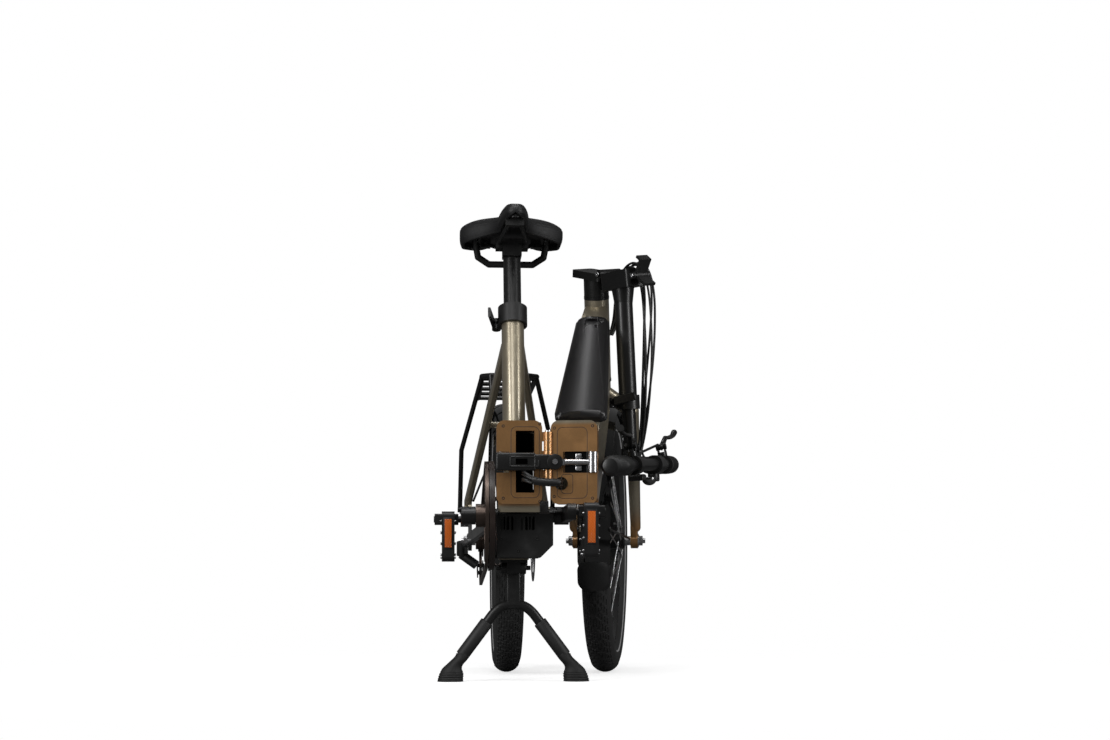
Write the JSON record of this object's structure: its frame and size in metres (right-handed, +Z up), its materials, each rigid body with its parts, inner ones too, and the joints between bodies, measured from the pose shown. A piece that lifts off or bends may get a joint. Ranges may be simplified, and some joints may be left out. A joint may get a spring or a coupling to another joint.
{
  "type": "folding bicycle",
  "caption": "Folding bicycle, folded on its double-leg stand: hinged frame with battery beam, mid motor, folding handlepost and pedals, discs, rack and mudguards.",
  "frame": {"origin": "under the middle of the folded bicycle's box, on the ground", "axes": "+Z up, -Y towards the folded frame hinge (the rear half's riding direction), +X towards the folded front half (the rider's left)"},
  "size_m": [0.4822, 0.9164, 0.836],
  "materials": {
    "champagne_paint": "satin metallic",
    "gloss_black": "gloss",
    "black_metal": "satin",
    "black_plastic": "satin",
    "brown_plastic": "satin",
    "rubber": "matt",
    "tyre": "matt",
    "steel": "bright",
    "dark_steel": "oiled",
    "motor_alloy": "cast",
    "saddle_skin": "soft grain"
  },
  "bodies": {
    "rear_half": {"rear_frame": "champagne_paint", "motor_housing": "motor_alloy", "motor_cover": "black_plastic", "hinge_pin": "steel", "seat_clamp": "black_metal", "rear_axle": "steel", "rear_mudguard": "gloss_black", "rear_rack": "black_metal", "rear_brake_caliper": "black_metal", "rear_derailleur": "black_metal", "chain": "dark_steel", "kickstand_bracket": "black_metal", "hinge_cables": "rubber"},
    "rear_wheel": {"rear_tyre": "tyre", "rear_rim": "black_metal", "rear_spokes": "steel", "rear_hub": "black_metal", "rear_brake_disc": "steel"},
    "sprockets": {"cassette": "dark_steel"},
    "cranks": {"right_crank_arm": "black_metal", "left_crank_arm": "black_metal", "chainring": "dark_steel", "chain_guard": "brown_plastic"},
    "left_pedal_spinner": {"left_pedal_block": "black_plastic"},
    "right_pedal_spinner": {"right_pedal_block": "black_plastic"},
    "left_pedal": {"left_pedal_platform": "black_plastic"},
    "right_pedal": {"right_pedal_platform": "black_plastic"},
    "seat": {"seatpost": "black_metal", "saddle_rails": "black_metal", "saddle_base": "black_plastic", "saddle_cushion": "saddle_skin"},
    "seat_lever": {"seat_clamp_lever": "black_metal"},
    "kickstand": {"kickstand_legs": "black_metal", "kickstand_feet": "rubber"},
    "front_half": {"front_frame": "champagne_paint", "battery_cover": "black_plastic", "headset": "black_metal"},
    "battery_button": {"battery_latch": "black_plastic"},
    "latch_swing_bolt": {"latch_bolt": "steel"},
    "latch_handle": {"latch_lever": "black_metal"},
    "steering": {"fork": "champagne_paint", "front_mudguard": "gloss_black", "front_brake_caliper": "black_metal", "front_axle": "steel", "stem_base": "black_metal"},
    "front_wheel": {"front_tyre": "tyre", "front_rim": "black_metal", "front_spokes": "steel", "front_hub": "black_metal", "front_brake_disc": "steel"},
    "outer_post": {"handlepost": "black_metal", "bar_cables": "rubber"},
    "post_latch": {"handlepost_latch": "black_metal"},
    "post_clamp_handle": {"height_clamp_lever": "black_metal"},
    "bar": {"inner_post": "black_metal", "handlebar": "black_metal", "grips": "rubber", "brake_perches": "black_metal"},
    "left_lever": {"left_brake_lever": "black_metal"},
    "right_lever": {"right_brake_lever": "black_metal"}
  },
  "joints": [
    {"name": "main_fold", "type": "hinge", "parent": "rear_half", "child": "front_half", "pos_m": [-0.05021, -0.34951, 0], "axis": [0, 0, 1], "range_deg": [-169.5, 0], "deforming": ["hinge_cables"]},
    {"name": "latch_swing", "type": "hinge", "parent": "front_half", "child": "latch_swing_bolt", "pos_m": [0.02368, -0.35949, 0.3735], "axis": [0, 0, -1], "range_deg": [-160, 0]},
    {"name": "latch_lever_turn", "type": "hinge", "parent": "latch_swing_bolt", "child": "latch_handle", "pos_m": [-0.03932, -0.35949, 0.3735], "axis": [0, -1, 0], "range_deg": [-90, 0]},
    {"name": "steer", "type": "hinge", "parent": "front_half", "child": "steering", "pos_m": [0.06015, -0.01388, 0.702], "axis": [-0.0565, -0.3206, 0.9455], "range_deg": [0, 20]},
    {"name": "front_wheel_spin", "type": "hinge", "parent": "steering", "child": "front_wheel", "pos_m": [0.09505, 0.18407, 0.258], "axis": [-0.9848, 0.1736, 0], "continuous": true},
    {"name": "rear_wheel_spin", "type": "hinge", "parent": "rear_half", "child": "rear_wheel", "pos_m": [-0.10061, 0.19379, 0.258], "axis": [1, 0, 0], "continuous": true},
    {"name": "handlepost_fold", "type": "hinge", "parent": "steering", "child": "outer_post", "pos_m": [0.07846, -0.06266, 0.74028], "axis": [0.8482, 0.5086, 0.1476], "range_deg": [-167, 0], "deforming": ["bar_cables"]},
    {"name": "handlepost_latch_turn", "type": "hinge", "parent": "outer_post", "child": "post_latch", "pos_m": [0.12763, -0.14006, 0.72441], "axis": [0.8482, 0.5086, 0.1476], "range_deg": [-38, 0]},
    {"name": "handlepost_height", "type": "slide", "parent": "outer_post", "child": "bar", "axis": [0.0542, 0.0583, -0.9968], "range_m": [0, 0.09]},
    {"name": "height_clamp_turn", "type": "hinge", "parent": "outer_post", "child": "post_clamp_handle", "pos_m": [0.07955, -0.09478, 0.5002], "axis": [0.0542, 0.0583, -0.9968], "range_deg": [0, 50]},
    {"name": "seat_height", "type": "slide", "parent": "rear_half", "child": "seat", "axis": [0, 0.2924, 0.9563], "range_m": [-0.05, 0.15]},
    {"name": "seat_clamp_turn", "type": "hinge", "parent": "rear_half", "child": "seat_lever", "pos_m": [-0.12861, -0.10501, 0.63797], "axis": [0, 0.2924, 0.9563], "range_deg": [-150, 0]},
    {"name": "crank_turn", "type": "hinge", "parent": "rear_half", "child": "cranks", "pos_m": [-0.10061, -0.24621, 0.289], "axis": [1, 0, 0], "range_deg": [0, 125]},
    {"name": "cassette_turn", "type": "hinge", "parent": "rear_half", "child": "sprockets", "pos_m": [-0.10061, 0.19379, 0.258], "axis": [1, 0, 0], "range_deg": [0, 424.1]},
    {"name": "left_pedal_spin", "type": "hinge", "parent": "cranks", "child": "left_pedal_spinner", "pos_m": [-0.00061, -0.41621, 0.289], "axis": [1, 0, 0], "range_deg": [-180, 30]},
    {"name": "right_pedal_spin", "type": "hinge", "parent": "cranks", "child": "right_pedal_spinner", "pos_m": [-0.20061, -0.07621, 0.289], "axis": [1, 0, 0], "continuous": true},
    {"name": "left_pedal_fold", "type": "hinge", "parent": "left_pedal_spinner", "child": "left_pedal", "pos_m": [0.01389, -0.41621, 0.289], "axis": [0, 1, 0], "range_deg": [-90, 0]},
    {"name": "right_pedal_fold", "type": "hinge", "parent": "right_pedal_spinner", "child": "right_pedal", "pos_m": [-0.21511, -0.07621, 0.289], "axis": [0, -1, 0], "range_deg": [-90, 0]},
    {"name": "kickstand_swing", "type": "hinge", "parent": "rear_half", "child": "kickstand", "pos_m": [-0.10061, -0.17621, 0.2], "axis": [-1, 0, 0], "range_deg": [-72, 0]},
    {"name": "left_brake_pull", "type": "hinge", "parent": "bar", "child": "left_lever", "pos_m": [0.10115, -0.22775, 0.41151], "axis": [-0.9364, 0.3054, -0.1726], "range_deg": [0, 20], "stiffness_Nm_per_rad": 2},
    {"name": "right_brake_pull", "type": "hinge", "parent": "bar", "child": "right_lever", "pos_m": [0.18888, 0.05321, 0.43271], "axis": [0.9364, -0.3054, 0.1726], "range_deg": [0, 20], "stiffness_Nm_per_rad": 2},
    {"name": "battery_latch_push", "type": "slide", "parent": "front_half", "child": "battery_button", "axis": [0.1112, 0.6305, -0.7682], "range_m": [0, 0.003], "stiffness_N_per_m": 400}
  ],
  "couplings": [
    {"joint": "cassette_turn", "follows": "crank_turn", "ratio": 3.3846},
    {"joint": "latch_swing", "follows": "main_fold", "ratio": 0.94}
  ]
}
